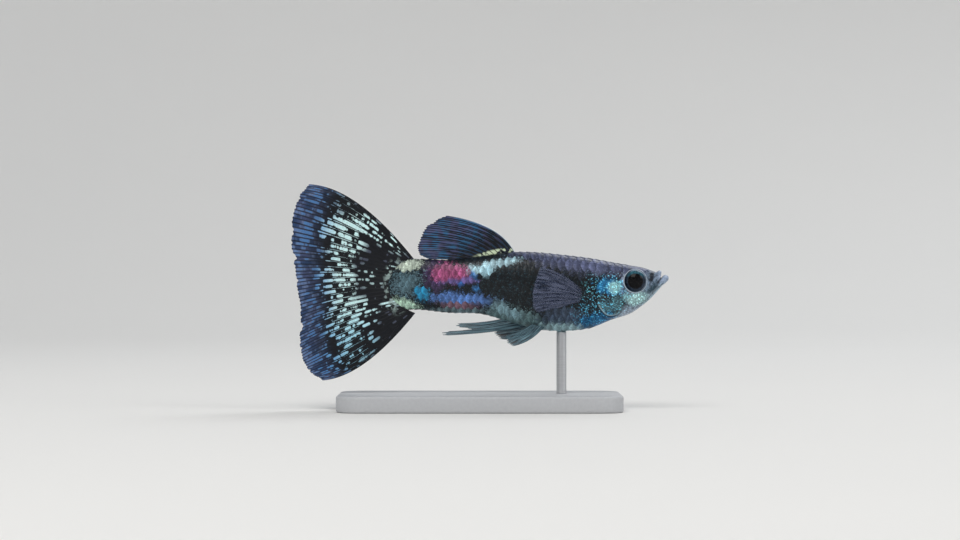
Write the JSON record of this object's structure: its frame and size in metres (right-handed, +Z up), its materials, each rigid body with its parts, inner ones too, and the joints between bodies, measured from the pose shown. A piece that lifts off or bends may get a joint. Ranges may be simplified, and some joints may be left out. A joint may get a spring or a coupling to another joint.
{
  "type": "fancy guppy model",
  "caption": "Life-size still model of a male fancy guppy with a fanned, patterned tail fin, held over a plain flat base by a short rod.",
  "frame": {"origin": "on the floor under the middle of the fish's whole length", "axes": "+X from the tail to the snout, +Y to the fish's left, +Z up"},
  "size_m": [0.0454, 0.016, 0.0271],
  "materials": {
    "head_skin": "wet satin skin, violet grey",
    "jaw_skin": "wet satin skin, pale lilac grey",
    "gill_cover": "pearly blue with speckles",
    "flank_skin": "pearly scales, dark blue grey",
    "stalk_skin": "pearly scales, rose and lilac",
    "tail_fin": "dark navy with a pale blue mosaic",
    "dorsal_fin": "dark navy with pale blue streaks",
    "pale_fin": "thin and cloudy, grey lilac",
    "eye": "polished",
    "stand_base": "fine matte",
    "stand_rod": "brushed"
  },
  "bodies": {
    "root": {"head": "head_skin", "lower_jaw": "jaw_skin", "gill_cover_left": "gill_cover", "gill_cover_right": "gill_cover", "torso": "flank_skin", "tail_stalk": "stalk_skin", "tail_fin": "tail_fin", "dorsal_fin": "dorsal_fin", "anal_fin": "pale_fin", "pectoral_fin_left": "pale_fin", "pectoral_fin_right": "pale_fin", "pelvic_fin_left": "pale_fin", "pelvic_fin_right": "pale_fin", "eye_left": "eye", "eye_right": "eye", "stand_base": "stand_base", "stand_rod": "stand_rod"}
  },
  "joints": []
}
